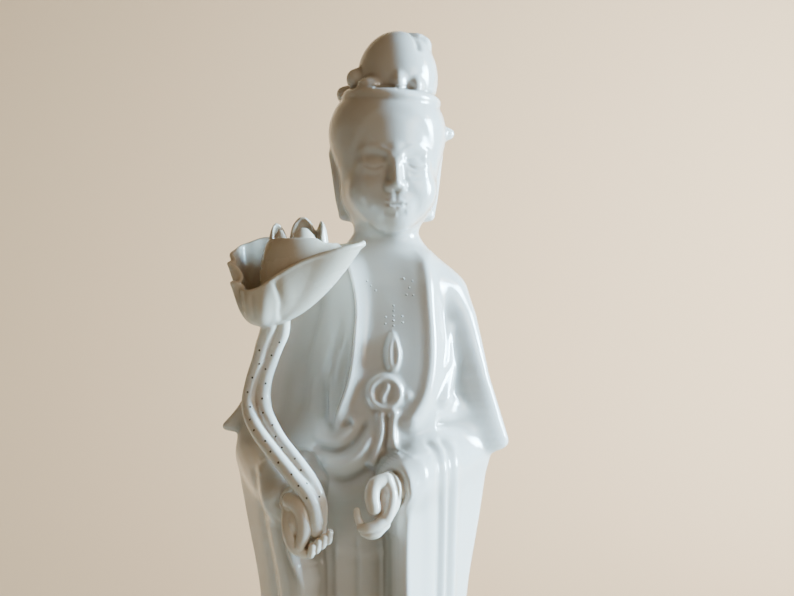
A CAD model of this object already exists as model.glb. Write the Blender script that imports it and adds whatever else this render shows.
import math

import bpy
import numpy as np
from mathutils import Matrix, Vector
from mathutils.bvhtree import BVHTree


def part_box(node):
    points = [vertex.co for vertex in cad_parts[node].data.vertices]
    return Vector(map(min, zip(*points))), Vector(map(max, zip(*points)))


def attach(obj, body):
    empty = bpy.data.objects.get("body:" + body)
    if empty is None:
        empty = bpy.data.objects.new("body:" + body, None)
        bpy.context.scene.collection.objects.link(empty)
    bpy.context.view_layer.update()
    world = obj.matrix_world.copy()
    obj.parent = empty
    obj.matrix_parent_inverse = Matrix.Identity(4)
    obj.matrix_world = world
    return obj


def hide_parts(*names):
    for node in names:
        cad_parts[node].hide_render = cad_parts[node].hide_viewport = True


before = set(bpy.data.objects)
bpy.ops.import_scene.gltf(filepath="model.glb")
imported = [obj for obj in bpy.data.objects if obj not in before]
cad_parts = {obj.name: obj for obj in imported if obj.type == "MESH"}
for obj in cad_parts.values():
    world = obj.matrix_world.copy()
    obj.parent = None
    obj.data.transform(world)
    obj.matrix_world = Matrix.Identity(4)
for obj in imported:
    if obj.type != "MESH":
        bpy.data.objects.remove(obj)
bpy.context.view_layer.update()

# The carving is worked out in millimetres, with heights counted from the top of the base.
MM = 0.001
CARVED_HEIGHT = 418.0
BASE_HEIGHT = 22.0
FIGURE_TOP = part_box("figure")[1].z / MM
UNIT = (FIGURE_TOP - BASE_HEIGHT) / CARVED_HEIGHT


# Small tools for carving

TINY = 1e-9
LINE_STEPS = 18
# The share of its length that a stroke fades over at either end, and its reach aside in widths
STROKE_FADE, STROKE_ASIDE = 0.12, 4


def fuse(a, b, fillet):
    """Two forms joined with a fillet of about the given size."""
    t = np.clip(0.5 + 0.5 * (b - a) / fillet, 0, 1)
    return b * (1 - t) + a * t - fillet * t * (1 - t)


def smooth(low, high, v):
    t = np.clip((v - low) / (high - low), 0, 1)
    return t * t * (3 - 2 * t)


def rod(point, start, end, start_radius, end_radius):
    """Distance to a tapered rod with round ends."""
    ux, uy, uz = (e - s for s, e in zip(start, end))
    px, py, pz = (p - s for p, s in zip(point, start))
    t = np.clip((px * ux + py * uy + pz * uz) / (ux * ux + uy * uy + uz * uz), 0, 1)
    reach = np.sqrt((px - ux * t) ** 2 + (py - uy * t) ** 2 + (pz - uz * t) ** 2)
    return reach - (start_radius * (1 - t) + end_radius * t)


def egg(point, centre, size):
    """Distance to an egg shape, near enough for joining."""
    offsets = [p - c for p, c in zip(point, centre)]
    near = np.sqrt(sum((o / s) ** 2 for o, s in zip(offsets, size))) + TINY
    far = np.sqrt(sum((o / (s * s)) ** 2 for o, s in zip(offsets, size))) + TINY
    return near * (near - 1) / far


def read_rows(rows, height):
    """Reads a table of rows, each starting with its height, smoothly between its rows."""
    table = np.array(rows, float)
    heights, values = table[:, 0], table[:, 1:]
    last = len(rows) - 1
    h = np.asarray(height, float)
    i = np.clip(np.searchsorted(heights, h) - 1, 0, last - 1)
    before, after = np.maximum(i - 1, 0), np.minimum(i + 2, last)
    span = heights[i + 1] - heights[i]
    t = np.clip((h - heights[i]) / span, 0, 1)[..., None]
    a, b = values[i], values[i + 1]
    slope_in = (b - values[before]) * (span / (heights[i + 1] - heights[before]))[..., None]
    slope_out = (values[after] - a) * (span / (heights[after] - heights[i]))[..., None]
    cubic = 2 * (a - b) + slope_in + slope_out
    result = a + t * (slope_in + t * (b - a - slope_in - cubic + t * cubic))
    return np.moveaxis(result, -1, 0)


def oval(x, y, half_width, front, back, squareness):
    """Distance to an upright oval with its own front and back depth."""
    depth = np.where(y < 0, front, back)
    power = (np.abs(x / half_width) ** squareness + np.abs(y / depth) ** squareness) ** (1 / squareness)
    power = np.maximum(power, 0.05)
    return np.maximum(np.hypot(x, y) * (1 - 1 / power), -np.minimum(half_width, depth))


def smooth_line(points, steps=LINE_STEPS):
    """A centripetal curve through points, as short steps."""
    p = np.array(points, float)
    ends = np.vstack([2 * p[0] - p[1], p, 2 * p[-1] - p[-2]])
    line = []
    spans = len(p) - 1
    per_span = max(2, round(steps / spans))
    for i in range(spans):
        a, b, c, d = ends[i:i + 4]
        ab, bc, cd = (max(np.linalg.norm(e - s), TINY) ** 0.5 for s, e in ((a, b), (b, c), (c, d)))
        slope_b = bc * ((b - a) / ab - (c - a) / (ab + bc) + (c - b) / bc)
        slope_c = bc * ((c - b) / bc - (d - b) / (bc + cd) + (d - c) / cd)
        square = 3 * (c - b) - 2 * slope_b - slope_c
        cube = 2 * (b - c) + slope_b + slope_c
        for t in np.linspace(0, 1, per_span, endpoint=False):
            line.append(b + t * (slope_b + t * (square + t * cube)))
    return np.array(line + [p[-1]])


def stroke(x, z, points, rise, first, second, fade=STROKE_FADE):
    """A fold along a line of the front view: a ridge, or a groove where rise is negative.

    first and second are its widths on its two sides, the first on the right where the line runs downwards.
    """
    line = smooth_line(points)
    reach = STROKE_ASIDE * max(first, second)
    low, high = line.min(0) - reach, line.max(0) + reach
    inside = (x > low[0]) & (x < high[0]) & (z > low[1]) & (z < high[1])
    result = np.zeros(x.shape)
    if not inside.any():
        return result
    px, pz = x[inside], z[inside]
    nearest = np.full(px.shape, np.inf)
    side = np.ones(px.shape)
    along = np.zeros(px.shape)
    for i in range(len(line) - 1):
        (ax, az), (ux, uz) = line[i], line[i + 1] - line[i]
        t = np.clip(((px - ax) * ux + (pz - az) * uz) / (ux * ux + uz * uz), 0, 1)
        dx, dz = px - ax - ux * t, pz - az - uz * t
        distance = dx * dx + dz * dz
        closer = distance < nearest
        nearest = np.where(closer, distance, nearest)
        side = np.where(closer, np.where(ux * dz - uz * dx < 0, 1, -1), side)
        along = np.where(closer, (i + t) / (len(line) - 1), along)
    width = np.where(side > 0, second, first)
    ends = smooth(0, fade, along) * smooth(0, fade, 1 - along) if fade else 1
    result[inside] = rise * np.exp(-nearest / width ** 2) * ends
    return result


def folds_at(x, z, folds):
    total = np.zeros(x.shape)
    for fold in folds:
        total += stroke(x, z, *fold)
    return total


# The robed body

# The trunk: height, middle, half width, front depth, back depth
TRUNK_ROWS = [
    [0, 0, 47, 38, 37], [8, 0, 45.5, 36.5, 35.5], [38, 0, 41.5, 32, 32.5],
    [88, 0, 39, 29.5, 32], [158, 0, 40, 30, 33], [213, 0.5, 42, 30, 34],
    [248, 3, 40, 28.5, 33], [278, 6, 37, 26, 31], [300, 8, 34, 21.5, 28.5],
    [308, 8.6, 30, 18.5, 26.5], [314, 9.1, 24.5, 15.5, 24], [319, 9.6, 18.8, 13.2, 21],
    [325, 10, 14.9, 12, 18], [334, 10.4, 14, 11.5, 17], [350, 10.8, 13.5, 11, 17],
]
NECK_TOP = 346
TRUNK_SQUARENESS = 2.25

# Each arm with its sleeve, by its side in the front view. The flap is the mantle's loose edge: places with a
# radius. Sleeve rows: height, the outer and the front end of the hanging cloth, and its radius at either.
ARMS = {
    "right": {
        "shoulder": (34, 6, 296.5),
        "elbow": (46, 4, 238),
        "forearm": (46, 4, 226),
        "wrist": (15.8, -42.4, 215),
        "flap": [(39.4, 1, 296.5, 8.2), (44.6, -2, 286, 7), (47.6, -4, 276, 6.2), (52.2, -5, 258.5, 5.3),
                 (62, 1, 229.4, 4.8)],
        "sleeve_rows": [
            [84, 33, -8, 21, -35, 8.5, 3.4],
            [158, 38, -2, 18.8, -40.5, 9, 3.4],
            [200, 45, 3, 18.6, -42, 9, 3.8],
            [218, 47.5, 4, 21.5, -39.5, 9, 7],
            [232, 47.5, 4, 21.5, -39.5, 9, 7],
        ],
    },
    "left": {
        "shoulder": (-33, 6, 298.5),
        "elbow": (-45, 4, 238),
        "forearm": (-47, 4, 226),
        "wrist": (-32.4, -37.4, 209.8),
        "flap": [(-41.5, 4, 270, 7.5), (-47.5, 3, 249, 5), (-63, 3, 235.8, 2.5)],
        "sleeve_rows": [
            [84, -33, -8, -27.6, -29, 8.5, 4.4],
            [158, -38, -2, -26.8, -34.5, 9, 4.6],
            [200, -46, 3, -32.5, -35, 9, 6.5],
            [218, -49, 4, -37, -32, 9, 9],
            [232, -49, 4, -37, -32, 9, 9],
        ],
    },
}
SHOULDER_RADIUS, ELBOW_RADIUS, CUFF_RADIUS = 11.5, 12, 10.2
SLEEVE_HEM, SLEEVE_TOP = 86, 226
ELBOW_FILLET, FLAP_FILLET, SLEEVE_FILLET = 7, 5, 5
CUFF_FILLET, HEM_FILLET, SLEEVE_TOP_FILLET = 2.5, 4, 8
SHOULDER_FILLET, NECK_FILLET, HAIR_FILLET, SOCKET_FILLET = 9, 5, 1.8, 1.2

# The way of each wrist: a point inside its sleeve, and the sleeve's mouth
WRISTS = {
    "right": ((22.2, -37.6, 213.9), (12.9, -45.3, 213.5)),
    "left": ((-35.5, -33.9, 211), (-28.6, -42.6, 206.5)),
}
WRIST_RADIUS, CUFF_EDGE = 6.2, 1
SOCKET_RADIUS, SOCKET_DEPTH, SOCKET_BEYOND = 7.3, 11, 9


def wrist_way(wrist):
    """The mouth of the sleeve and the way that the hand points out of it."""
    inside, mouth = np.array(wrist, float)
    return mouth, (mouth - inside) / np.linalg.norm(mouth - inside)


def trunk(x, y, z):
    middle, half_width, front, back = read_rows(TRUNK_ROWS, z)
    return np.maximum(oval(x - middle, y, half_width, front, back, TRUNK_SQUARENESS), z - NECK_TOP)


def arm(x, y, z, side):
    part = ARMS[side]
    point = (x, y, z)
    upper = rod(point, part["shoulder"], part["elbow"], SHOULDER_RADIUS, ELBOW_RADIUS)
    lower = rod(point, part["forearm"], part["wrist"], ELBOW_RADIUS, CUFF_RADIUS)
    mouth, out = wrist_way(WRISTS[side])
    beyond = sum((p - m) * o for p, m, o in zip(point, mouth, out)) + CUFF_EDGE
    lower = -fuse(-lower, -beyond, CUFF_FILLET)
    stops = part["flap"]
    flap = np.minimum.reduce([rod(point, a[:3], b[:3], a[3], b[3]) for a, b in zip(stops, stops[1:])])
    ax, ay, bx, by, outer_radius, front_radius = read_rows(part["sleeve_rows"], z)
    curtain = rod((x, y, 0), (ax, ay, 0), (bx, by, 0), outer_radius, front_radius)
    hem = -fuse(-curtain, -(SLEEVE_HEM - z), HEM_FILLET)
    sleeve = -fuse(-hem, -(z - SLEEVE_TOP), SLEEVE_TOP_FILLET)
    bent = fuse(upper, lower, ELBOW_FILLET)
    return fuse(fuse(bent, flap, FLAP_FILLET), sleeve, SLEEVE_FILLET)


# The head in its own frame, turned a little to the viewer's right: u across, v forwards negative.
# The eyes are half way up and one eye's width apart. Brows, nose and chin are a third of the face apart.
HEAD_TURN = math.radians(8)
HEAD_CENTRE = (10.8, 1)
CHIN, CROWN = 324.5, 384.5
FACE_TOP = CHIN + 0.885 * (CROWN - CHIN)
BROW = CHIN + (FACE_TOP - CHIN) * 2 / 3
NOSE_FOOT = CHIN + (FACE_TOP - CHIN) / 3
EYE_LINE = (CHIN + CROWN) / 2 - 0.8
MOUTH = NOSE_FOOT - (NOSE_FOOT - CHIN) / 3
EYE_WIDTH = 9.6
HEAD_FROM, NECK_FOOT = 320, 316

SKULL = ((0, 1, 370.5), (26.6, 29, 24.6))
# Eggs added to the skull before and after the ridge of the nose, on both sides: centre, size, fillet
FACE_EGGS = [
    ((0, -2.5, 351), (21.4, 25.5, 25), 8),
    ((0, -4.5, 340.5), (19.4, 20.5, 15.5), 7),
    ((0, -19.4, 330.6), (8.5, 6.4, 6), 7),
    ((10, -18.2, 343), (8, 6.6, 8.5), 7),
    ((EYE_WIDTH, -20.8, EYE_LINE), (5.8, 4.6, 4.2), 3.4),
]
NOSE_AND_LIPS = [((2.7, -28, NOSE_FOOT + 2.1), (2, 2.8, 1.9), 1.8), ((0, -24.8, MOUTH), (6.4, 3.6, 4.6), 5)]
NOSE_RIDGE = ((0, -25.6, BROW + 1), (0, -30.6, NOSE_FOOT + 3.4), 1.5, 2.3)
EAR = ((23, 4, 361), (19.2, 2, 333.4), 3.2, 3.2)
NOSE_FILLET, EAR_FILLET = 4, 2.5


def head_frame(x, y):
    dx, dy = x - HEAD_CENTRE[0], y - HEAD_CENTRE[1]
    cos, sin = math.cos(HEAD_TURN), math.sin(HEAD_TURN)
    return dx * cos + dy * sin, dy * cos - dx * sin


def add_eggs(form, point, eggs):
    for centre, size, fillet in eggs:
        form = fuse(form, egg(point, centre, size), fillet)
    return form


def head(x, y, z):
    u, v = head_frame(x, y)
    point = (np.abs(u), v, z)
    form = add_eggs(egg(point, *SKULL), point, FACE_EGGS)
    form = add_eggs(fuse(form, rod(point, *NOSE_RIDGE), NOSE_FILLET), point, NOSE_AND_LIPS)
    return fuse(form, rod(point, *EAR), EAR_FILLET)


TOPKNOT = ((15.4, 2, 396), (18.6, 19.6, 22))
# The band tied round the topknot's foot, a little lower on the right
BAND_HEIGHT, BAND_TILT, BAND_RADIUS = 386.2, 0.07, 2.3
BAND_MIDDLE, BAND_HALF = (12.4, 1), (20.2, 22)
# Curls and loops of hair, and last a small ornament at the temple: centre and size
CURLS = [
    ((-3.2, -4, 395), (4.8, 5, 5)),
    ((3, -13, 391.2), (5.6, 5, 3.4)),
    ((15.8, -15.4, 392), (3.4, 4.2, 5)),
    ((24, -13, 390.8), (3.2, 4.2, 4)),
    ((-8.4, 7, 389.6), (4.6, 5, 4.4)),
    ((27.6, 1, 410.8), (3.5, 4.4, 4.6)),
    ((24.6, 1, 414.4), (3, 4, 2.7)),
    ((38.4, 5, 371), (3, 3, 3)),
]


def hair(x, y, z):
    band_height = BAND_HEIGHT - BAND_TILT * (x - 12)
    aside = np.hypot((x - BAND_MIDDLE[0]) / BAND_HALF[0], (y - BAND_MIDDLE[1]) / BAND_HALF[1]) - 1
    band = np.hypot(aside * 21, (z - band_height) * 0.9) - BAND_RADIUS
    curls = [(centre, size, HAIR_FILLET) for centre, size in CURLS]
    return add_eggs(fuse(egg((x, y, z), *TOPKNOT), band, 1.2), (x, y, z), curls)


def socket(x, y, z, wrist):
    """The opening in a sleeve's end for the hand's wrist."""
    mouth, out = wrist_way(wrist)
    start, end = mouth - out * (SOCKET_DEPTH - SOCKET_RADIUS), mouth + out * SOCKET_BEYOND
    return rod((x, y, z), start, end, SOCKET_RADIUS, SOCKET_RADIUS)


def body(x, y, z):
    cloth = fuse(trunk(x, y, z), arm(x, y, z, "right"), SHOULDER_FILLET)
    cloth = fuse(cloth, arm(x, y, z, "left"), SHOULDER_FILLET)
    if np.min(z) < NECK_FOOT:
        for wrist in WRISTS.values():
            cloth = -fuse(-cloth, socket(x, y, z, wrist), SOCKET_FILLET)
        return cloth
    return fuse(fuse(cloth, head(x, y, z), NECK_FILLET), hair(x, y, z), HAIR_FILLET)


LEFT_LAPEL = [(-7.6, 318), (-4.6, 311), (-2.6, 302), (-1.7, 293.5), (-1.7, 287), (-2.2, 281), (-3, 270.6),
              (-4.6, 260), (-7, 252), (-9.8, 244.5), (-12.8, 237)]
RIGHT_LAPEL = [(23.2, 320), (25.6, 309), (27.2, 293.5), (28.2, 278), (27.8, 264), (25.4, 252), (20.8, 243.4),
               (15.6, 237)]
# Folds of the robe in the front view: points (across, height), rise, the two widths, and the fade
ROBE_FOLDS = [
    # the lapel on the left with its crest, and the cloth that falls away from it to the arm
    (LEFT_LAPEL, 3.8, 3.4, 1.7),
    ([(-27, 312), (-32, 292), (-36, 272), (-37, 250), (-35, 228)], -7.5, 22, 8, 0.25),
    (LEFT_LAPEL, 1.3, 1.3, 0.9),
    # the lapel on the right: a sharp inner edge on a broad rise
    (RIGHT_LAPEL, 1.7, 5.5, 1.9),
    (RIGHT_LAPEL, 2.2, 5.5, 7),
    # the mantle over the arm on the right: a broad valley that faces the lotus, and small folds
    ([(36, 302), (41.4, 286), (44.6, 272), (45.4, 262), (45.4, 252), (43, 246)], -4, 3.6, 6, 0.2),
    ([(41.8, 286), (41.2, 280.9), (39.2, 270.6), (37, 260)], 1.8, 2.6, 1.6, 0.25),
    ([(45.8, 280), (44.3, 273.4), (41.9, 263.7), (37.1, 251.4), (33.6, 246)], 2.2, 2.8, 2, 0.2),
    # its hem curled over the bend of the elbow, with a hollow above it and a pocket below
    ([(43, 243.4), (48.6, 243.2), (53.4, 241.4), (56, 237.6), (56, 232)], 2.2, 2.4, 2, 0.22),
    ([(44, 252), (48.6, 249), (53.4, 246.6)], -2.4, 2.6, 2.2, 0.3),
    ([(32.5, 239), (38, 238.4), (45, 237.8), (52, 236.4)], -3.6, 2.6, 2.2, 0.25),
    # the sleeve on the right: folds that run over the forearm and hang down
    ([(26.6, 232), (31.1, 229), (33.4, 223), (33.9, 213), (33.9, 191), (33.2, 160), (31.5, 92)],
     -1.2, 1.5, 1.5, 0.1),
    ([(29.5, 233), (34, 229), (35.9, 223), (36.3, 213), (36, 191), (35.4, 160), (33.4, 92)],
     1, 1.6, 1.5, 0.1),
    ([(33.2, 233), (37.4, 228.5), (38.7, 222), (38.8, 211.6), (38.4, 191), (37.6, 160), (35.4, 92)],
     -1.1, 1.4, 1.4, 0.1),
    ([(36.6, 233), (40, 228.5), (41.2, 221), (41.2, 211), (40.6, 191), (39.8, 160), (37.2, 92)],
     1, 1.6, 1.8, 0.1),
    ([(19, 231), (25, 227), (28.6, 218), (29.4, 200), (29.4, 160), (28.4, 92)], 0.7, 4.2, 2.6, 0.1),
    # the sash between the sleeves, hanging in curves from the left arm to the knot
    ([(-19, 222.6), (-15, 222), (-10.2, 222.2), (-2.9, 225.5), (2.3, 232.3), (6.2, 242)], 2.6, 3, 2.6, 0.28),
    ([(-22, 230), (-18, 228.4), (-11, 228), (-4.5, 231.5), (0, 237.5), (3, 244)], -2.3, 2, 2, 0.2),
    ([(-24, 236), (-17, 233), (-10.4, 233.4), (-5.5, 238), (-2, 244.5)], 1.3, 1.8, 1.8, 0.2),
    ([(-9.5, 240.6), (-6.4, 239.6), (-3.4, 240.8)], -1.8, 2.4, 2, 0.3),
    ([(-20, 262), (-22, 250), (-18, 240), (-11, 236.6)], -2.2, 3.2, 2.8, 0.25),
    ([(-17.5, 215.8), (-8, 215.4), (0.5, 219), (7, 224.5)], -1.7, 2.2, 2.2, 0.3),
    ([(-16, 210), (-7, 209.4), (3, 213)], 0.6, 2.6, 2.8, 0.3),
    # the mantle over the arm on the left
    ([(-17, 300), (-21, 287), (-26.4, 273), (-31, 259), (-34.4, 246)], 1, 4.6, 4, 0.2),
    ([(-11, 292), (-14.5, 276), (-18.8, 260), (-20.6, 247), (-21, 235)], -1.1, 3.8, 4.2, 0.2),
    ([(-31.5, 276), (-36.5, 262), (-39, 250), (-39.4, 240)], -0.8, 2.6, 3, 0.2),
    ([(-24.5, 262), (-27, 252), (-27.6, 243)], 0.5, 2.2, 2.2, 0.2),
    # the sleeve on the left
    ([(-31.5, 189), (-30.4, 184), (-27.4, 177), (-22.4, 166), (-20.5, 150), (-21, 92)], 2.4, 2.8, 1.4, 0.06),
    ([(-36, 200), (-33, 186), (-28.6, 172), (-26.4, 150), (-26.4, 92)], -1.2, 2.2, 2.2, 0.06),
    ([(-43, 224), (-41, 206), (-37.6, 186), (-34, 165), (-32, 92)], 1.3, 2.4, 2.4, 0.06),
    ([(-47.5, 222), (-45.5, 206), (-42, 186), (-38.5, 165), (-35, 92)], -0.9, 1.8, 1.8, 0.06),
    # the apron's hem and the skirt's panels below it
    ([(-16, 186), (-8, 184), (0, 183.2), (9, 183.8), (16, 186)], 0.5, 1.8, 3, 0.25),
    ([(-11, 196), (-10.6, 160), (-12, 110), (-15, 6)], 1.4, 4.2, 1.3),
    ([(-0.8, 196), (-0.6, 160), (-1.2, 110), (-2, 6)], 1.3, 4.6, 1.3),
    ([(9, 196), (9.2, 160), (10, 110), (12, 6)], 1.3, 4.6, 1.3),
    ([(17.4, 204), (17, 182), (16.8, 160), (17.4, 92)], -1.4, 1.4, 1.4, 0.06),
    # the sash's two hanging ends below the knot
    ([(7.6, 246), (8, 236), (5.6, 227.4), (3.2, 221)], 2.2, 2.1, 2, 0.08),
    ([(13.2, 247), (12.6, 237), (13.1, 231), (15, 226.5)], 2.5, 2.2, 2, 0.08),
    ([(10.4, 244), (10.4, 236), (9.4, 228)], -1.2, 0.9, 0.9, 0.1),
]
PENDANT_MIDDLE, PENDANT_HALF = (13.2, 271), (4.1, 9.8)
KNOT_MIDDLE, KNOT_RADIUS = (9.6, 253.4), 6.6
KNOT_BUD = (18.6, 252.4)


def trim(x, z):
    """The bud-shaped pendant and the ring knot of the sash, in relief."""
    px, pz = (x - PENDANT_MIDDLE[0]) / PENDANT_HALF[0], (z - PENDANT_MIDDLE[1]) / PENDANT_HALF[1]
    narrowing = 1 + 0.5 * np.maximum(pz, 0)
    pendant = 2.4 * smooth(1.06, 0.55, np.hypot(px * narrowing, pz))
    leaf_edge = 0.55 * np.exp(-((np.abs(px * narrowing) - 0.42) / 0.2) ** 2)
    leaf_edge *= smooth(1, 0.5, np.abs(pz)) * smooth(1.06, 0.8, np.abs(pz))
    kx, kz = x - KNOT_MIDDLE[0], (z - KNOT_MIDDLE[1]) * 0.93
    round_knot = np.hypot(kx, kz)
    ring = 1.6 * np.exp(-((round_knot - KNOT_RADIUS) / 1.8) ** 2)
    filling = smooth(KNOT_RADIUS + 1, KNOT_RADIUS - 1, round_knot)
    wave = np.exp(-((kx - 1.1 * np.sin(kz * 0.62)) / 1.1) ** 2)
    twist = 1.3 * wave * smooth(4.6, 3.2, round_knot)
    bud = 1.1 * smooth(3.6, 0.4, np.hypot(x - KNOT_BUD[0], z - KNOT_BUD[1]))
    return np.maximum.reduce([pendant, ring + filling + twist, bud]) + leaf_edge


# Strokes on half the face: a level, points (across from the middle, up from the level), rise, widths, fade
FACE_ROWS = [
    (BROW, [(1.8, -4), (3.2, -0.6), (7.6, 2), (12.4, 2), (17.6, -1.2)], 0.45, 1.3, 2.4, 0.15),
    (EYE_LINE, [(3.2, 2.4), (8.6, 4.2), (14.5, 3)], -1, 1.9, 1.9, 0.2),
    (EYE_LINE, [(2.6, 1.5), (3.4, -3), (4.2, -8)], -0.5, 1.6, 1.6, 0.2),
    (EYE_LINE, [(4.8, 0.2), (EYE_WIDTH, -1.5), (14.6, 0.4)], -0.55, 0.55, 0.55, 0.15),
    (EYE_LINE, [(5, -3.4), (EYE_WIDTH, -4.8), (14, -3)], -0.28, 1.5, 1.5, 0.25),
    (MOUTH, [(0, NOSE_FOOT - MOUTH - 0.9), (0, 2.6)], -0.25, 0.8, 0.8, 0),
    (NOSE_FOOT, [(3.4, 3.4), (4.9, 1.6), (4.6, 0)], -0.25, 0.9, 0.9, 0.25),
    (MOUTH, [(0, 1.4), (1.8, 1.8), (4.4, 0.6)], 0.5, 0.8, 0.8, 0.15),
    (MOUTH, [(0, 0.1), (2, -0.1), (5, 0.3)], -0.65, 0.5, 0.5, 0.1),
    (MOUTH, [(0, -1.5), (1.8, -1.4), (3.8, -0.6)], 0.6, 0.9, 0.9, 0.15),
    (MOUTH, [(0, -4.2), (2.4, -4), (5, -3)], -0.45, 1.2, 1.2, 0.15),
]
FACE_STROKES = [([(across, level + up) for across, up in points], *shape)
                for level, points, *shape in FACE_ROWS]
FACE_MIDDLE, FACE_HALF = 347, (20.4, 32.5)
HAIR_STEP, HAIRLINE_FOOT = 0.5, (333, 341)
# The gap between the topknot and the curl on its right
TOPKNOT_FOLDS = [([(21, 419), (22.6, 415.8), (24.6, 411.5), (25.6, 406)], -1.7, 1.1, 1.2, 0.1)]


def head_rise(x, y, z):
    u, v = head_frame(x, y)
    ahead = smooth(-6, -12, v)
    beside = np.hypot(u / FACE_HALF[0], (z - FACE_MIDDLE) / FACE_HALF[1])
    covered = np.maximum(smooth(0.9, 1.08, beside), 1 - ahead)
    step = HAIR_STEP * covered * smooth(*HAIRLINE_FOOT, z)
    return step + folds_at(np.abs(u), z, FACE_STROKES) * ahead


# Long folds down the back
BACK_FOLDS = [
    ([(-26, 296), (-21, 220), (-24, 120), (-30, 4)], 2, 4, 3),
    ([(-7, 300), (-5, 220), (-8, 120), (-12, 4)], 1.8, 3, 5),
    ([(13, 300), (11, 220), (10, 120), (8, 4)], 1.8, 5, 3),
    ([(32, 296), (28, 220), (27, 120), (28, 4)], 2, 3, 4),
]


# Meshes

def on_base(points):
    """Carving millimetres to metres in the frame."""
    moved = np.array(points, float) * UNIT
    moved[..., 2] += BASE_HEIGHT
    return moved * MM


def read_values(items, key, width, kind=float):
    values = np.empty(len(items) * width, kind)
    items.foreach_get(key, values)
    return values.reshape(-1, width)


def read_points(piece):
    return read_values(piece.data.vertices, "co", 3)


def place_points(piece, points):
    piece.data.vertices.foreach_set("co", np.asarray(points, np.float32).ravel())
    piece.data.update()


def choose(*pieces):
    bpy.ops.object.select_all(action="DESELECT")
    for piece in pieces:
        piece.select_set(True)
    bpy.context.view_layer.objects.active = pieces[0]


def modify(piece, kind, **settings):
    choose(piece)
    modifier = piece.modifiers.new(kind.lower(), kind)
    for key, value in settings.items():
        setattr(modifier, key, value)
    bpy.ops.object.modifier_apply(modifier=modifier.name)


def join_pieces(pieces, name):
    choose(*pieces)
    bpy.ops.object.join()
    joined = bpy.context.object
    joined.name = joined.data.name = name
    return joined


def sphere_grid(columns, rings):
    """A sphere, with the column and the ring (from the top) that each of its points is on."""
    bpy.ops.object.select_all(action="DESELECT")
    bpy.ops.mesh.primitive_uv_sphere_add(segments=columns, ring_count=rings, location=(0, 0, 0))
    piece = bpy.context.object
    x, y, z = read_points(piece).T
    ring = np.rint(np.arctan2(np.hypot(x, y), z) / math.pi * rings).astype(int)
    column = np.rint(np.arctan2(y, x) / (2 * math.pi) * columns).astype(int) % columns
    return piece, column, ring


# The carved body: a sphere's points sent to where level rays from a slightly bent axis meet the form

AXIS_ROWS = [
    [0, 0, 0], [158, 0, 0], [230, 0.5, 0], [300, 8, 2], [334, 10.5, 2], [384, 11.5, 1], [418, 15.4, 2],
]
FRONT_COLUMNS, BACK_COLUMNS = 180, 44
SIDE_MARGIN = math.radians(8)
CROWN_HEIGHTS = [417.97, 417.85, 417.6, 417.2, 416.7, 416.1, 415.4, 414.7]
# From, to and spacing of the rings, downwards
RING_ZONES = [
    (414, 385, 0.7), (385, 322, 0.5), (322, 316, 0.8), (316, 222, 0.8), (222, 160, 1.2), (160, -4, 4),
]
# A ray comes in by a share of the gap, within limits, until it is inside, and is then halved
RAY_REACH, RAY_STEPS, RAY_HALVINGS = 84, 90, 9
GAP_SHARE, SHORTEST_STEP, LONGEST_STEP = 0.7, 0.12, 20


def ray_reach(z, dx, dy, cx, cy):
    """How far out along each level ray the form's surface lies."""
    reach = np.full(z.shape, float(RAY_REACH))
    outside, inside = reach.copy(), np.zeros(z.shape)
    rays = np.arange(len(z))
    for _ in range(RAY_STEPS):
        gap = body(cx[rays] + dx[rays] * reach[rays], cy[rays] + dy[rays] * reach[rays], z[rays])
        hit = gap < 0
        inside[rays[hit]] = reach[rays[hit]]
        rays = rays[~hit]
        if not len(rays):
            break
        outside[rays] = reach[rays]
        reach[rays] -= np.clip(gap[~hit] * GAP_SHARE, SHORTEST_STEP, LONGEST_STEP)
    for _ in range(RAY_HALVINGS):
        middle = (outside + inside) / 2
        hit = body(cx + dx * middle, cy + dy * middle, z) < 0
        inside, outside = np.where(hit, middle, inside), np.where(hit, outside, middle)
    return inside


# The skirt's flutes below the sleeves, and how unevenly they stand
FLUTES, FLUTE_DEPTH, FLUTE_SWAY, FLUTE_RUN = 19, 1.2, 1.5, 22
# Where the robe's carving ends at the neck, and the face's begins and ends
NECK_FADE, HEAD_FADE, CROWN_FADE = (322, 315), (320, 323), (389, 384)


def carved_points(z, angle):
    dx, dy = np.cos(angle), np.sin(angle)
    cx, cy = read_rows(AXIS_ROWS, z)
    reach = ray_reach(z, dx, dy, cx, cy)
    x, y = cx + dx * reach, cy + dy * reach
    rise = np.zeros(z.shape)
    if np.min(z) < HEAD_FROM:
        front = smooth(0.05, 0.42, -dy)
        rise += (folds_at(x, z, ROBE_FOLDS) + trim(x, z)) * front
        rise += folds_at(x, z, BACK_FOLDS) * smooth(0.05, 0.45, dy)
        flutes = np.cos(FLUTES * angle + FLUTE_SWAY * np.sin(3 * angle))
        rise += smooth(SLEEVE_HEM, SLEEVE_HEM - FLUTE_RUN, z) * FLUTE_DEPTH * flutes
        rise *= smooth(*NECK_FADE, z)
    if np.max(z) > HEAD_FROM:
        rise += head_rise(x, y, z) * smooth(*HEAD_FADE, z) * smooth(*CROWN_FADE, z)
        rise += folds_at(x, z, TOPKNOT_FOLDS)
    return np.stack([cx + dx * (reach + rise), cy + dy * (reach + rise), z], axis=-1)


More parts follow.
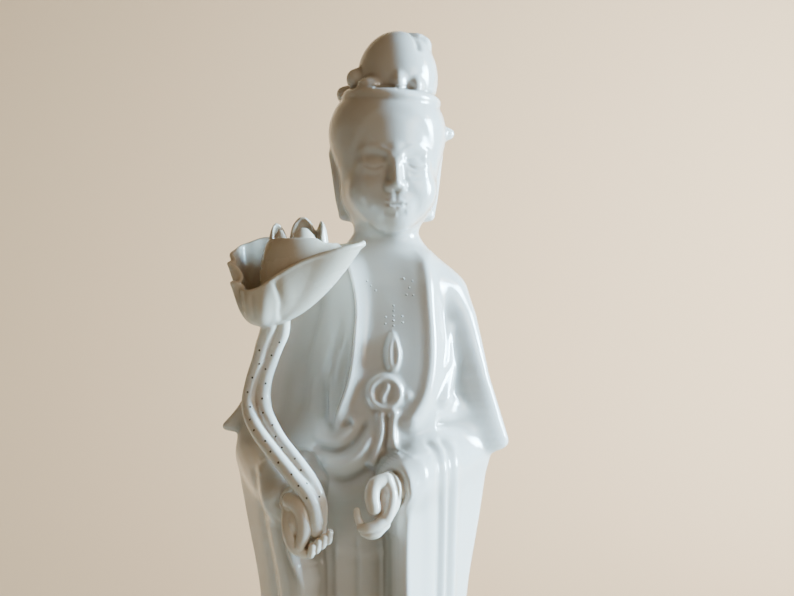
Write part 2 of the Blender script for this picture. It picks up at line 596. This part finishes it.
def carve_body():
    heights, starts = list(CROWN_HEIGHTS), [0]
    for start, end, spacing in RING_ZONES:
        heights += list(np.linspace(start, end, round((start - end) / spacing), endpoint=False))
        starts.append(len(heights))
    heights = np.array(heights + [RING_ZONES[-1][1]])
    starts[-1] = len(heights)
    front = np.linspace(math.pi - SIDE_MARGIN, 2 * math.pi + SIDE_MARGIN, FRONT_COLUMNS, endpoint=False)
    back = np.linspace(2 * math.pi + SIDE_MARGIN, 3 * math.pi - SIDE_MARGIN, BACK_COLUMNS, endpoint=False)
    angles = np.concatenate([front, back])
    grid = np.zeros((len(heights), len(angles), 3))
    for first, beyond in zip(starts, starts[1:]):
        z, angle = np.meshgrid(heights[first:beyond], angles, indexing="ij")
        grid[first:beyond] = carved_points(z.ravel(), angle.ravel()).reshape(*z.shape, 3)
    piece, column, ring = sphere_grid(len(angles), len(heights) + 1)
    points = grid[np.clip(ring - 1, 0, len(heights) - 1), column]
    points[ring == 0] = [*AXIS_ROWS[-1][1:], CARVED_HEIGHT]
    points[ring == len(heights) + 1] = [0, 0, heights[-1]]
    place_points(piece, on_base(points))
    return piece


# The steep valley of the mantle on the right is softened more: its limits across, back and up
VALLEY_ACROSS, VALLEY_BACK, VALLEY_UP = (34, 40), (30, 15), (222, 232)


def soften_valley(piece):
    x, y, z = read_points(piece).T / MM
    steep = smooth(*VALLEY_ACROSS, x) * smooth(*VALLEY_BACK, y) * smooth(*VALLEY_UP, z)
    valley = piece.vertex_groups.new(name="valley")
    for index in np.flatnonzero(steep > 0.05):
        valley.add([int(index)], float(steep[index]), "REPLACE")
    modify(piece, "SMOOTH", factor=0.5, iterations=8, vertex_group="valley")


# The low base: a foot ring below two rows of upright lotus petals

BASE_HALF = (56, 47)
BASE_FOOT, BASE_PETALS, BASE_RELIEF = 5, 14, 3.2
# Height, and how far in from the widest outline
BASE_PROFILE = [
    (20, 30), (20, 14), (20, 7.2), (19.6, 5.6), (18.8, 4.7), (17.6, 3.8), (16.4, 3.1), (15, 2.5),
    (13.6, 2.1), (12.2, 1.9), (10.8, 1.9), (9.4, 2.2), (8.2, 2.8), (7.2, 3.5), (6.4, 4.2), (5.8, 4.8),
    (5.3, 5.1), (5, 4.6), (4.9, 3), (4.8, 1.7), (4.5, 1.2), (4, 1), (2.6, 1), (1, 1), (0.3, 1.2), (0, 1.9),
    (0, 8), (0, 30),
]
# The tops of the two rows, and how much less the back one stands out
FRONT_ROW_TOP, BACK_ROW_TOP, BACK_ROW_INSET = 20.6, 19.4, 0.3
COLUMNS_A_PETAL = 16


def base_petal(angle, z, turn, top, lift):
    """How far a row of upright petals stands out at an angle and a height."""
    across = (angle * BASE_PETALS / (2 * math.pi) + turn) % 1 * 2 - 1
    up = (z - BASE_FOOT) / (top - BASE_FOOT)
    outline = np.sqrt(np.clip(1 - np.clip(up, 0, 1) ** 2.6, 0, 1))
    place = np.abs(across) / np.maximum(outline, 1e-3)
    body_of_petal = np.clip(1 - place ** 2, 0, 1) ** 0.5 * (0.45 + 0.55 * np.clip(up, 0, 1))
    rim = 0.35 * np.exp(-((place - 0.86) / 0.1) ** 2)
    return np.where((up > 0.02) & (up < 1) & (place < 1), lift * (body_of_petal + rim), 0) - lift


def build_base():
    columns = BASE_PETALS * COLUMNS_A_PETAL
    heights, insets = np.array(BASE_PROFILE).T
    piece, column, ring = sphere_grid(columns, len(heights) + 1)
    row = np.clip(ring - 1, 0, len(heights) - 1)
    angle = column * 2 * math.pi / columns
    z = heights[row]
    front_row = base_petal(angle, z, 0.5, FRONT_ROW_TOP, BASE_RELIEF)
    back_row = base_petal(angle, z, 0.0, BACK_ROW_TOP, BASE_RELIEF * (1 - BACK_ROW_INSET))
    petals = np.maximum(front_row, back_row - BASE_RELIEF * BACK_ROW_INSET)
    out = petals * smooth(BASE_FOOT, BASE_FOOT + 1.5, z) * smooth(20.5, 18.5, z) - insets[row]
    x, y = np.cos(angle) * (BASE_HALF[0] + out), np.sin(angle) * (BASE_HALF[1] + out)
    points = np.stack([x, y, z], axis=-1)
    points[ring == 0] = [0, 0, heights[0]]
    points[ring == len(heights) + 1] = [0, 0, 0]
    place_points(piece, points * MM)
    return piece


# Rounded limbs, for the hands and the stems

CAPS, BALL_COLUMNS = 5, 24


def limb(points, radii, sides=20, steps=26):
    """A rounded limb along a smooth line, thick as its radii say, with round ends."""
    line = smooth_line(points, steps)
    count = len(line)
    tangents = np.gradient(line, axis=0)
    tangents /= np.linalg.norm(tangents, axis=1)[:, None]
    side = np.cross(tangents[0], [0.3, 0.2, 0.93])
    sides_along = []
    for tangent in tangents:
        side = side - tangent * (side @ tangent)
        side /= np.linalg.norm(side)
        sides_along.append(side)
    sides_along = np.array(sides_along)
    ups = np.cross(tangents, sides_along)
    widths = np.interp(np.linspace(0, 1, count), np.linspace(0, 1, len(radii)), radii)
    piece, column, ring = sphere_grid(sides, count + 2 * CAPS - 1)
    angle = column * 2 * math.pi / sides
    result = np.zeros((len(ring), 3))
    for r in range(count + 2 * CAPS):
        here = ring == r
        if r < CAPS:
            k, lift = 0, math.pi / 2 - r * math.pi / 2 / CAPS
        elif r >= count + CAPS:
            k, lift = count - 1, -(r - count - CAPS + 1) * math.pi / 2 / CAPS
        else:
            k, lift = r - CAPS, 0.0
        out = widths[k] * math.cos(lift)
        centre = line[k] - tangents[k] * widths[k] * math.sin(lift)
        turn = angle[here]
        result[here] = (centre + np.cos(turn)[:, None] * sides_along[k] * out
                        + np.sin(turn)[:, None] * ups[k] * out)
    place_points(piece, on_base(result))
    return piece


def ball(centre, size):
    piece, _, _ = sphere_grid(BALL_COLUMNS, BALL_COLUMNS // 2)
    place_points(piece, on_base(read_points(piece) * size + centre))
    return piece


def ring_band(centre, out, radius, thickness):
    """A round bracelet about a limb that runs the way of out."""
    bpy.ops.object.select_all(action="DESELECT")
    bpy.ops.mesh.primitive_torus_add(major_radius=radius, minor_radius=thickness,
                                     major_segments=48, minor_segments=14)
    piece = bpy.context.object
    turn = Vector((0, 0, 1)).rotation_difference(Vector(out)).to_matrix()
    points = read_points(piece) @ np.array(turn).T + centre
    place_points(piece, on_base(points))
    return piece


def melt(pieces, name, grain, soften):
    """Joins pieces into one closed skin, with its creases filled as glaze fills them."""
    joined = join_pieces(pieces, name)
    modify(joined, "REMESH", mode="VOXEL", voxel_size=grain * MM, adaptivity=0)
    modify(joined, "SMOOTH", factor=0.5, iterations=soften)
    return joined


# The hands

# How far a wrist stays off its socket's end, how far it shows, and its radii
WRIST_CLEARANCE, WRIST_SHOWN = 1, 2
WRIST_RADII = [WRIST_RADIUS, WRIST_RADIUS, WRIST_RADIUS * 0.93]
HAND_GRAIN, SPRAY_GRAIN = 0.26, 0.5
# The bracelet's two rings: how far out of the sleeve, over or under the wrist's radius, thickness
BRACELET = [(1.3, 0.45, 1.0), (2.7, -0.1, 0.75)]


def wrist_plug(wrist):
    mouth, out = wrist_way(wrist)
    root = mouth - out * (SOCKET_DEPTH - WRIST_CLEARANCE)
    return limb([root + out * WRIST_RADIUS, mouth, mouth + out * WRIST_SHOWN], WRIST_RADII)


# The raised hand on the right of the front view, whose thumb meets the curled fingers: points and radii
OPEN_HAND = [
    ([(12.2, -46.5, 213.2), (11.6, -48, 208), (9.4, -49, 202)], [5.9, 5.2, 4.2]),
    ([(10.5, -50, 218), (5.8, -52.3, 216), (4.6, -53.2, 211.5), (5.4, -53.3, 206.3)], [3.1, 3.2, 3.3, 3.1]),
    ([(11, -50.4, 218), (13, -51.2, 213), (12.6, -52, 207), (10.6, -52.4, 202), (7, -52.4, 198.8)],
     [2.8, 2.3, 2.5, 2.8, 2.8]),
    ([(10.4, -52.4, 201.5), (6.5, -54, 199.2), (2.5, -54.5, 198.1), (-0.2, -53.6, 197.8)],
     [2.7, 2.4, 2.2, 1.8]),
    ([(10, -50.6, 199), (7, -52.4, 196.2), (3.5, -53, 195.2), (0.9, -52.2, 195.6)], [2.5, 2.1, 1.9, 1.6]),
    ([(9, -48.5, 198), (6.5, -50.2, 194.9), (3.5, -50.8, 194.3), (1.6, -50.2, 194.8)], [2.4, 2, 1.8, 1.5]),
    ([(0, -52.2, 198.5), (-1.5, -52.6, 202), (-1.8, -52.8, 205.2)], [1.9, 1.6, 1.4]),
]
# The hand on the left, with its thumb in front, and four fingers in a row under the stems
HOLDING_HAND = [
    ([(-30, -42, 209.5), (-27.8, -46.6, 206.2)], [6, 5.7]),
    ([(-28.4, -48.6, 204), (-28.2, -50.2, 199.5), (-27.8, -50.2, 196.5)], [3.6, 3.3, 2.6]),
    ([(-30, -47.6, 208.6), (-26.2, -50.6, 206.6), (-24.2, -52.2, 200.6), (-24.4, -52.6, 194.6),
      (-26.2, -52.2, 190)], [4, 3.8, 3.3, 2.9, 2.3]),
    ([(-30.4, -46, 205.6), (-30.8, -48.8, 199), (-30.2, -50.2, 193.6), (-28, -50.8, 189),
      (-24.4, -50.4, 186.8)], [4, 3.3, 3, 2.8, 2.5]),
]
for i in range(4):
    x, z = -20.9 + 2.45 * i, 189 + 1.9 * i
    finger = [(-26.4, -46, 188.6 + 0.5 * i), (x - 1.9, -47.6, z - 2.9), (x - 0.5, -51.6, z - 2.3),
              (x + 0.4, -53.9, z + 1.4)]
    HOLDING_HAND.append((finger, [2.2, 2, 1.85, 1.6]))


def make_hand(wrist, limbs, name):
    pieces = [wrist_plug(wrist)] + [limb(points, radii) for points, radii in limbs]
    return melt(pieces, name, HAND_GRAIN, 3)


def open_hand():
    mouth, out = wrist_way(WRISTS["right"])
    hand = make_hand(WRISTS["right"], OPEN_HAND, "bare_open_hand")
    bands = [ring_band(mouth + out * along, out, WRIST_RADIUS + over, thickness)
             for along, over, thickness in BRACELET]
    return melt([hand, *bands], "glazed_open_hand", HAND_GRAIN, 2)


# The lotus spray: two stems, a cupped leaf with a long tip, and a bud of petals

STEM_RADIUS = 3.25
STEM_LINES = [
    [(-39.5, -37.5, 284), (-42.7, -33, 276.1), (-45.3, -30, 267.8), (-48.1, -28, 259.5), (-50, -28, 250.1),
     (-49.2, -31, 244.5), (-46.4, -36, 239.1), (-42.3, -41, 233.8), (-37.5, -45, 228.5),
     (-32.6, -48, 223.1), (-28, -50.5, 217.8), (-23.1, -52, 212.4), (-20.2, -52.5, 206.8),
     (-19.2, -52, 201.1), (-19.2, -50.5, 196.3)],
    [(-34, -38, 288), (-35.1, -34, 279.6), (-37.8, -31.5, 273.7), (-40.1, -29.5, 267.8),
     (-42.2, -28.5, 261.9), (-43.4, -28, 256), (-43.5, -28.5, 250.1), (-42.2, -31, 244.5), (-39.2, -35, 239),
     (-35.6, -39, 233.6), (-30.9, -43, 228.3), (-26.2, -46, 222.9), (-22.1, -47.6, 217.5),
     (-19.1, -48.4, 212), (-17.5, -48.4, 206.4), (-17.6, -48, 200.7), (-18.2, -47, 196)],
]
LEAF_FOOT = np.array([-42.5, -38.5, 283.5])
# The leaf's rim every 30 degrees, from the tip on the right backwards: reach, rise, how full the cup is
LEAF_RIM = np.array([
    [43, 35, 0], [28, 34, 0.1], [20, 36, 0.45], [16.5, 38, 0.8], [15.6, 35.5, 0.6], [15, 32.5, 0.4],
    [13.4, 28.5, 0.35], [12.2, 18, 0.95], [13, 14.5, 1], [14, 16, 1], [17, 22, 0.55], [26, 29, 0.15],
])
TIP_FORWARD = 7
LEAF_THICKNESS, PETAL_THICKNESS = 1.7, 1.3
# How far the bud stays off the leaf's inside, and the halvings that search for it
LEAF_ROOM, LEAF_HALVINGS = 1.7, 18
# Creases and pleats pressed into the leaf's front
LEAF_FOLDS = [
    ([(-38.2, 306), (-36.2, 300), (-34.8, 294), (-35.2, 288), (-34, 285)], -0.9, 2.6, 0.8, 0.2),
    ([(-46.2, 297.5), (-45.8, 291), (-45.2, 285.5)], -0.6, 0.9, 0.9, 0.2),
    ([(-48, 297.5), (-48, 291), (-47.2, 286)], 0.4, 1.1, 1.1, 0.2),
    ([(-50.2, 297), (-50.2, 291), (-49.4, 287)], -0.4, 0.8, 0.8, 0.2),
]


def around(column, angle):
    place = angle / (2 * math.pi) * len(LEAF_RIM) % len(LEAF_RIM)
    i = np.floor(place).astype(int)
    t = place - i
    a, b, c, d = (LEAF_RIM[(i + k) % len(LEAF_RIM), column] for k in (-1, 0, 1, 2))
    return b + 0.5 * t * (c - a + t * (2 * a - 5 * b + 4 * c - d + t * (3 * (b - c) + d - a)))


def leaf_out(angle, share):
    """How far from the foot's upright line the leaf's surface runs."""
    fullness = around(2, angle)
    return around(0, angle) * (share * (1 - fullness) + np.sin(share * math.pi / 2) ** 0.7 * fullness)


def leaf_points(angle, share):
    left = smooth(0.2, -0.6, np.cos(angle))
    turn = np.degrees(angle) % 360
    ruffled = smooth(172, 186, turn) * smooth(232, 216, turn)
    out = leaf_out(angle, share) * (1 + 0.035 * share * np.sin(9 * angle) * left)
    out += ruffled * share ** 5 * 2.6 * np.sin(np.radians((turn - 182) * 15))
    z = LEAF_FOOT[2] + around(1, angle) * share ** 1.9
    z = z + ruffled * share ** 5 * 1.4 * np.cos(np.radians(turn * 15))
    forward = TIP_FORWARD * np.maximum(np.cos(angle), 0) ** 8 * share ** 2
    x, y = LEAF_FOOT[0] + np.cos(angle) * out, LEAF_FOOT[1] + np.sin(angle) * out - forward
    pressed = folds_at(x, z, LEAF_FOLDS) * smooth(0.1, 0.5, -np.sin(angle)) * smooth(1.0, 0.9, share)
    return np.stack([x + np.cos(angle) * pressed, y + np.sin(angle) * pressed, z], axis=-1)


def inside_leaf(points):
    """Keeps the bud's points above the leaf's inner side and within its rim."""
    dx, dy, _ = (points - LEAF_FOOT).T
    angle, reach = np.arctan2(dy, dx), np.hypot(dx, dy)
    within = np.minimum(reach, around(0, angle) * 0.93 - 0.8)
    low, high = np.zeros(len(points)), np.ones(len(points))
    for _ in range(LEAF_HALVINGS):
        middle = (low + high) / 2
        beyond = leaf_out(angle, middle) > within
        low, high = np.where(beyond, low, middle), np.where(beyond, middle, high)
    floor = LEAF_FOOT[2] + around(1, angle) * low ** 1.9 + LEAF_ROOM
    return np.stack([LEAF_FOOT[0] + np.cos(angle) * within, LEAF_FOOT[1] + np.sin(angle) * within,
                     np.maximum(points[:, 2], floor)], axis=-1)


def sheet_from(surface, across, along, thickness):
    """A sheet of the given thickness over a patch of surface, u across and v along."""
    bpy.ops.object.select_all(action="DESELECT")
    bpy.ops.mesh.primitive_grid_add(x_subdivisions=across, y_subdivisions=along, size=2)
    piece = bpy.context.object
    u, v = (read_points(piece)[:, :2].T + 1) / 2
    place_points(piece, on_base(surface(u, v)))
    modify(piece, "SOLIDIFY", thickness=thickness * MM, offset=0)
    return piece


def leaf():
    def surface(u, v):
        return leaf_points(2 * math.pi * u * 1.0001, 0.02 + 0.98 * v)
    return sheet_from(surface, 160, 40, LEAF_THICKNESS)


# Each petal hugs part of a rounded cup: its middle, turn (270 faces the viewer), spread, size, foot, tip,
# how blunt its end is and how upright its side
PETALS = [
    ((-26.2, -38.5, 302), 250, 84, (17.4, 12.4, 21), -25, 62, 1, 0.4),
    ((-23.5, -38.5, 302), 330, 60, (17.6, 12, 19.4), -12, 58, 0.9, 0.5),
    ((-26, -38, 302), 95, 84, (17, 12, 20), -12, 62, 1, 0.5),
    ((-25.4, -40, 304.5), 280, 62, (8.6, 8.8, 20.8), 20, 78, 0.6, 1),
    ((-35.4, -36.8, 312), 140, 88, (5, 3.8, 15.8), 0, 74, 0.3, 0.8),
    ((-34.9, -39.4, 311), 262, 70, (3.4, 3.2, 13.6), 0, 76, 0.4, 0.8),
    ((-25.6, -36, 312), 95, 86, (6, 4.2, 18.6), 0, 76, 0.4, 0.8),
    ((-19.6, -36.8, 312), 20, 84, (4.8, 4.2, 16.8), 0, 74, 0.3, 0.8),
]


def petal(middle, turn, spread, size, foot, tip, blunt, dome):
    def surface(u, v):
        width = math.radians(spread) * np.sin(math.pi * (0.2 + (0.78 - 0.14 * blunt) * v)) ** 0.7
        angle = math.radians(turn) + (u - 0.5) * 2 * width
        lift = np.radians(foot + (tip - foot) * v)
        level = np.cos(lift) ** dome
        out = np.stack([np.cos(angle) * level, np.sin(angle) * level, np.sin(lift)], axis=-1)
        return inside_leaf(out * size + middle)
    return sheet_from(surface, 40, 40, PETAL_THICKNESS)


SPOT_RADIUS, SPOT_FLATNESS, SPOT_SPACING = 0.5, 0.35, 6.6
# The ways in which spots face, in degrees from the viewer
SPOT_TURNS = (-14, 150, 16, -160, -4, 120)


def stem_spots(spray):
    """Small dark iron spots pressed into the stems, in a loose spiral."""
    tree = BVHTree.FromObject(spray, bpy.context.evaluated_depsgraph_get())
    spots = []
    for number, points in enumerate(STEM_LINES):
        line = smooth_line(points, 220)
        lengths = np.concatenate([[0], np.cumsum(np.linalg.norm(np.diff(line, axis=0), axis=1))])
        for k, distance in enumerate(np.arange(14, lengths[-1] - 10, SPOT_SPACING / 2)):
            centre = np.array([np.interp(distance, lengths, line[:, axis]) for axis in range(3)])
            turn = math.radians(-90 + SPOT_TURNS[(k + 2 * number) % 6])
            way = Vector((math.cos(turn), math.sin(turn), 0))
            start = Vector(on_base(centre)) + way * 6 * MM
            place, normal, _, _ = tree.ray_cast(start, -way, 8 * MM)
            if place is None:
                continue
            spot, _, _ = sphere_grid(10, 6)
            turned = normal.to_track_quat("Z", "Y").to_matrix()
            flat = read_points(spot) * (1, 1, SPOT_FLATNESS) * SPOT_RADIUS * MM
            place_points(spot, flat @ np.array(turned).T + np.array(place))
            spots.append(spot)
    return spots


def lotus_spray(glaze, spot_paint):
    pieces = [limb(line, [STEM_RADIUS], sides=24, steps=120) for line in STEM_LINES]
    rim = leaf_points(np.linspace(0, 2 * math.pi, 73), np.ones(73)) - (0, 0, 0.3)
    pieces += [leaf(), limb(rim, [1.05], sides=12, steps=288)]
    pieces += [limb([rim[0] - (2.4, 0, 2), rim[0]], [1.3, 1.5])]
    filling = ball((-26.2, -38.5, 302), (15.6, 10.8, 14.5))
    cored = read_points(filling) / MM / UNIT - (0, 0, BASE_HEIGHT / UNIT)
    place_points(filling, on_base(inside_leaf(cored)))
    pieces += [filling, ball((-41.5, -38.5, 286), (6, 5, 4))]
    pieces += [petal(*row) for row in PETALS]
    spray = melt(pieces, "glazed_spray", SPRAY_GRAIN, 3)
    mark_pools(spray)
    spots = stem_spots(spray)
    spray.data.materials.append(glaze)
    for spot in spots:
        spot.data.materials.append(spot_paint)
    return join_pieces([spray, *spots], "glazed_lotus_spray")


# The necklace's small beads, which sit on the chest: across and height
NECKLACE = [(13.6, 291.6 - 2.2 * i) for i in range(5)] + [
    (13.6, 289.4), (10.2, 286.6), (17.4, 286.9), (10, 283.6), (17.6, 284.2),
    (1.8, 302.5), (3.6, 300.4), (5.6, 298.4), (22, 302.6), (20.6, 299.6), (19.4, 296.4), (22.4, 296.2),
    (18.2, 303.6),
]
BEAD_RADIUS, BEAD_SUNK = 0.6, 0.28


def necklace(carved):
    tree = BVHTree.FromObject(carved, bpy.context.evaluated_depsgraph_get())
    beads = []
    for x, height in NECKLACE:
        start = Vector(on_base((x, -90, height)))
        place, _, _, _ = tree.ray_cast(start, Vector((0, 1, 0)))
        bead, _, _ = sphere_grid(14, 8)
        place_points(bead, read_points(bead) * BEAD_RADIUS * MM + np.array(place) + (0, BEAD_SUNK * MM, 0))
        beads.append(bead)
    return beads


# How many rings of neighbours a hollow is told from, and how often it is evened out
POOL_REACH, POOL_SOFTENING = 5, 3


def mark_pools(piece):
    """Writes how hollow the surface is at each point, in millimetres: there the glaze gathers."""
    mesh = piece.data
    points, normals = read_points(piece), read_values(mesh.vertices, "normal", 3)
    a, b = read_values(mesh.edges, "vertices", 2, int).T
    count = len(points)
    neighbours = np.maximum(np.bincount(np.concatenate([a, b]), minlength=count), 1)

    def mean(values):
        sums = [np.bincount(a, values[b, k], count) + np.bincount(b, values[a, k], count)
                for k in range(values.shape[1])]
        return np.stack(sums, axis=-1) / neighbours[:, None]

    blurred = points
    for _ in range(POOL_REACH):
        blurred = (blurred + mean(blurred)) / 2
    hollow = ((blurred - points) * normals).sum(axis=1, keepdims=True) / MM
    for _ in range(POOL_SOFTENING):
        hollow = (hollow + mean(hollow)) / 2
    attribute = mesh.attributes.new("pool", "FLOAT", "POINT")
    attribute.data.foreach_set("value", hollow.ravel().astype(np.float32))


# Glazes

def new_material(name):
    material = bpy.data.materials.new(name)
    material.use_nodes = True
    tree = material.node_tree
    return material, tree, tree.nodes["Principled BSDF"]


def set_values(node, values):
    for key, value in values.items():
        node.inputs[key].default_value = value


def noise(tree, scale, detail):
    place = tree.nodes.new("ShaderNodeTexCoord")
    texture = tree.nodes.new("ShaderNodeTexNoise")
    set_values(texture, {"Scale": scale, "Detail": detail, "Roughness": 0.5})
    tree.links.new(place.outputs["Object"], texture.inputs["Vector"])
    return texture.outputs["Fac"]


def stretch(tree, value, low, high, to_low=0, to_high=1):
    node = tree.nodes.new("ShaderNodeMapRange")
    set_values(node, {"From Min": low, "From Max": high, "To Min": to_low, "To Max": to_high})
    tree.links.new(value, node.inputs["Value"])
    return node.outputs["Result"]


def blend_colours(tree, amount, first, second, way="MIX"):
    node = tree.nodes.new("ShaderNodeMix")
    node.data_type, node.blend_type = "RGBA", way
    tree.links.new(amount, node.inputs["Factor"])
    for entry, colour in ((node.inputs[6], first), (node.inputs[7], second)):
        if isinstance(colour, tuple):
            entry.default_value = (*colour, 1)
        else:
            tree.links.new(colour, entry)
    return node.outputs[2]


# Noise scale and detail of the colour's clouds, of the uneven shine and of the ripple
CLOUDS, SHINE, RIPPLE = (34, 3), (90, 4), (150, 3)
CLOUD_DARKNESS = 0.975
# How proud a ridge is for the glaze to thin, and how deep a hollow for it to pool, from none to all
THINNING, POOLING = (-0.02, -0.22), (0.01, 0.2)
GLAZE_VALUES = {
    "Specular IOR Level": 0.5,
    "Subsurface Weight": 0.35,
    "Subsurface Radius": (1.0, 0.85, 0.7),
    "Coat Roughness": 0.06,
}


def glaze(name, thin, plain, pooled, roughness, depth, coat, upper=None):
    """A glaze, thin on ridges and pooled in hollows. upper: from and to what height it turns to a tint."""
    material, tree, shader = new_material(name)
    pool = tree.nodes.new("ShaderNodeAttribute")
    pool.attribute_name = "pool"
    clouds = stretch(tree, noise(tree, *CLOUDS), 0.35, 0.65)
    colour = blend_colours(tree, clouds, plain, tuple(c * CLOUD_DARKNESS for c in plain))
    colour = blend_colours(tree, stretch(tree, pool.outputs["Fac"], *THINNING), colour, thin)
    colour = blend_colours(tree, stretch(tree, pool.outputs["Fac"], *POOLING), colour, pooled)
    if upper:
        start, end, tint = upper
        place, parts = tree.nodes.new("ShaderNodeTexCoord"), tree.nodes.new("ShaderNodeSeparateXYZ")
        tree.links.new(place.outputs["Object"], parts.inputs["Vector"])
        colour = blend_colours(tree, stretch(tree, parts.outputs["Z"], start, end), colour, tint, "MULTIPLY")
    tree.links.new(colour, shader.inputs["Base Color"])
    shine = stretch(tree, noise(tree, *SHINE), 0.3, 0.7, roughness * 0.85, roughness * 1.2)
    tree.links.new(shine, shader.inputs["Roughness"])
    set_values(shader, {**GLAZE_VALUES, "Subsurface Scale": depth, "Coat Weight": coat})
    bump = tree.nodes.new("ShaderNodeBump")
    set_values(bump, {"Strength": 0.10, "Distance": 0.0006})
    tree.links.new(noise(tree, *RIPPLE), bump.inputs["Height"])
    tree.links.new(bump.outputs["Normal"], shader.inputs["Normal"])
    return material


def spot_glaze():
    material, tree, shader = new_material("iron_spots")
    colour = blend_colours(tree, stretch(tree, noise(tree, 900, 2), 0.35, 0.65),
                           (0.055, 0.042, 0.034), (0.17, 0.13, 0.10))
    tree.links.new(colour, shader.inputs["Base Color"])
    set_values(shader, {"Roughness": 0.4})
    return material


def plain_wall(name, colour, other):
    material, tree, shader = new_material(name)
    tree.links.new(blend_colours(tree, stretch(tree, noise(tree, 1.6, 2), 0.3, 0.7), colour, other),
                   shader.inputs["Base Color"])
    set_values(shader, {"Roughness": 0.9, "Specular IOR Level": 0.1})
    return material


# The pieces

body_glaze = glaze("body_glaze", thin=(0.80, 0.785, 0.755), plain=(0.695, 0.672, 0.635),
                   pooled=(0.47, 0.45, 0.415), roughness=0.14, depth=0.0012, coat=0.7)
hand_glaze = glaze("hand_glaze", thin=(0.90, 0.85, 0.77), plain=(0.86, 0.79, 0.70),
                   pooled=(0.62, 0.53, 0.43), roughness=0.2, depth=0.0014, coat=0.35)
spray_glaze = glaze("spray_glaze", thin=(0.93, 0.91, 0.86), plain=(0.90, 0.87, 0.81),
                    pooled=(0.66, 0.61, 0.54), roughness=0.26, depth=0.0012, coat=0.25,
                    upper=(0.298, 0.312, (0.78, 0.73, 0.66)))

carved = carve_body()
modify(carved, "SMOOTH", factor=0.5, iterations=2)
soften_valley(carved)
figure = join_pieces([carved, build_base(), *necklace(carved)], "glazed_figure")
mark_pools(figure)
figure.data.materials.append(body_glaze)

raised = open_hand()
held = make_hand(WRISTS["left"], HOLDING_HAND, "glazed_holding_hand")
for hand in (raised, held):
    mark_pools(hand)
    hand.data.materials.append(hand_glaze)

spray = lotus_spray(spray_glaze, spot_glaze())

for piece, node, finish in (
    (figure, "figure", "body_glaze"),
    (raised, "open_hand", "hand_glaze"),
    (held, "holding_hand", "hand_glaze"),
    (spray, "lotus_spray", "spray_glaze"),
):
    choose(piece)
    bpy.ops.object.shade_smooth()
    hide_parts(node)
    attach(piece, "root")

# Floor, wall, light and camera

bpy.ops.mesh.primitive_plane_add(size=1)
room = bpy.context.object
room.name = "backdrop"
choose(room)
across, floor_front, wall_foot, wall_top, round_off = 2.6, -1.3, 0.85, 1.8, 0.3
profile = [(floor_front, 0), (wall_foot - round_off, 0)]
profile += [(wall_foot - round_off + round_off * math.sin(t), round_off * (1 - math.cos(t)))
            for t in np.linspace(0.1, math.pi / 2, 12)]
profile += [(wall_foot, wall_top)]
points = [(x, y, z) for y, z in profile for x in (-across, across)]
faces = [(2 * i, 2 * i + 1, 2 * i + 3, 2 * i + 2) for i in range(len(profile) - 1)]
room.data.clear_geometry()
room.data.from_pydata(points, [], faces)
room.data.materials.append(plain_wall("pale_wall", (0.74, 0.655, 0.52), (0.73, 0.645, 0.51)))
bpy.ops.object.shade_smooth()

world = bpy.data.worlds.new("room_light")
bpy.context.scene.world = world
world.use_nodes = True
set_values(world.node_tree.nodes["Background"], {"Color": (1.0, 0.70, 0.40, 1), "Strength": 0.18})


def soft_light(name, place, aim, size, power, colour, reach):
    light = bpy.data.lights.new(name, "AREA")
    light.shape = "RECTANGLE"
    light.size, light.size_y = size
    light.energy = power
    light.color = colour
    light.spread = math.radians(reach)
    holder = bpy.data.objects.new(name, light)
    bpy.context.scene.collection.objects.link(holder)
    holder.location = place
    holder.rotation_euler = (Vector(aim) - Vector(place)).to_track_quat("-Z", "Y").to_euler()


soft_light("window", (1.3, 0.03, 0.5), (0, 0, 0.3), (0.5, 0.8), 13, (0.46, 0.77, 1.0), 40)
soft_light("front_fill", (1.0, -0.8, 0.6), (0, 0, 0.32), (0.6, 0.6), 0.32, (1.0, 0.88, 0.72), 40)
soft_light("wall_lamp", (1.1, 0.25, 0.5), (-0.1, 0.85, 0.3), (0.5, 0.9), 17.5, (1.0, 0.9, 0.76), 88)

CAMERA_PLACE = (0.0152, -0.65, 0.317)
PIXEL_AT_AXIS, PICTURE_WIDTH = 0.00046, 794
SENSOR = 36.0
camera_data = bpy.data.cameras.new("camera")
camera_data.sensor_width = SENSOR
camera_data.lens = SENSOR * -CAMERA_PLACE[1] / (PICTURE_WIDTH * PIXEL_AT_AXIS)
camera = bpy.data.objects.new("camera", camera_data)
camera.location = CAMERA_PLACE
camera.rotation_euler = (math.pi / 2, 0, 0)
bpy.context.scene.collection.objects.link(camera)
bpy.context.scene.camera = camera
